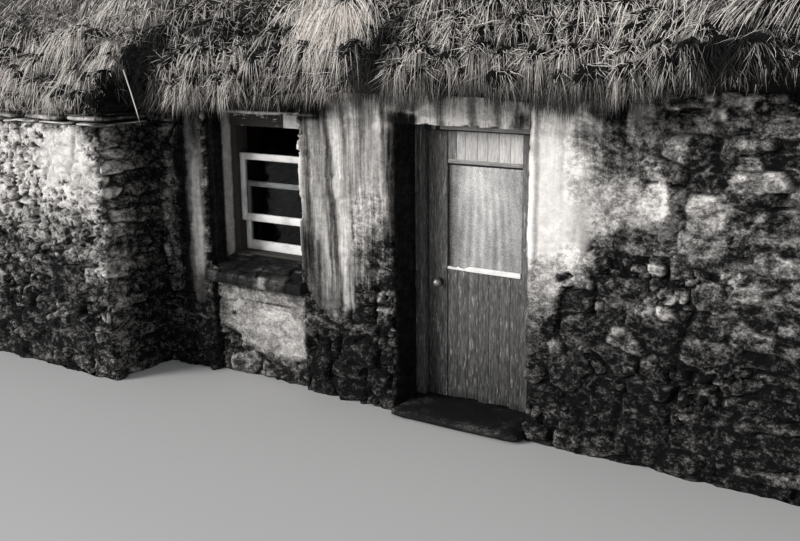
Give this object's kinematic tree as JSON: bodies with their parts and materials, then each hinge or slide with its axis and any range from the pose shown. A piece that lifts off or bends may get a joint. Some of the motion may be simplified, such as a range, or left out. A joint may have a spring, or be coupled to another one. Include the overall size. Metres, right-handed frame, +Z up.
{
  "type": "thatched cottage",
  "caption": "Low rubble-walled cottage with a shaggy thatched roof, projecting outshot, sash windows and a half-glazed plank door that swings inwards.",
  "frame": {"origin": "ground level at the middle of the door, on the face of the front wall, under the threshold stone", "axes": "+X to the right along the front wall seen from outside, +Y into the house, +Z up"},
  "size_m": [10.24, 5.8744, 5.06],
  "materials": {
    "limewash": "rough limewash over rubble",
    "rubble": "rough field stone",
    "flagstone": "split stone",
    "thatch": "weathered straw",
    "timber": "rough sawn",
    "white_paint": "old gloss paint on wood",
    "door_paint": "peeling paint on wood",
    "clear_glass": "old window glass",
    "obscure_glass": "grained glass",
    "iron": "rusted"
  },
  "bodies": {
    "house": {"floor_flags": "flagstone", "threshold": "flagstone", "outshot_front_wall": "rubble", "outshot_side_wall": "rubble", "coping_flags": "flagstone", "window_pillar": "limewash", "window_apron": "limewash", "window_lintel": "limewash", "front_pier": "limewash", "door_lintel": "limewash", "front_wall_right": "limewash", "back_wall": "rubble", "gable_left": "rubble", "gable_right": "rubble", "chimney_stack": "rubble", "rafter_couple_1": "timber", "rafter_couple_2": "timber", "rafter_couple_3": "timber", "rafter_couple_4": "timber", "rafter_couple_5": "timber", "ridge_board": "timber", "wall_plate_front": "timber", "wall_plate_back": "timber", "thatch_outshot": "thatch", "thatch_front": "thatch", "thatch_back": "thatch", "window_sill": "flagstone", "window_frame": "white_paint", "window_upper_sash": "white_paint", "window_lower_sash": "white_paint", "window_upper_pane": "clear_glass", "window_lower_pane": "clear_glass", "end_window_sill": "flagstone", "end_window_frame": "white_paint", "end_window_upper_pane": "clear_glass", "end_window_lower_pane": "clear_glass", "back_window_frame": "white_paint", "back_window_pane": "clear_glass", "door_frame": "door_paint", "hinge_pintle_bottom": "iron", "hinge_pintle_top": "iron"},
    "door": {"door_leaf": "door_paint", "door_upper_boards": "door_paint", "door_lower_boards": "door_paint", "door_pane": "obscure_glass", "door_strip": "white_paint", "hinge_strap_bottom": "iron", "hinge_strap_top": "iron"},
    "knob": {"door_knob": "iron"}
  },
  "joints": [
    {"name": "door_swing", "type": "hinge", "parent": "house", "child": "door", "pos_m": [0.404, 0.326, 0.31], "axis": [0, 0, -1], "range_deg": [0, 90]},
    {"name": "knob_turn", "type": "hinge", "parent": "door", "child": "knob", "pos_m": [-0.315, 0.294, 0.834], "axis": [0, 1, 0], "range_deg": [-45, 45], "stiffness_Nm_per_rad": 0.3}
  ]
}
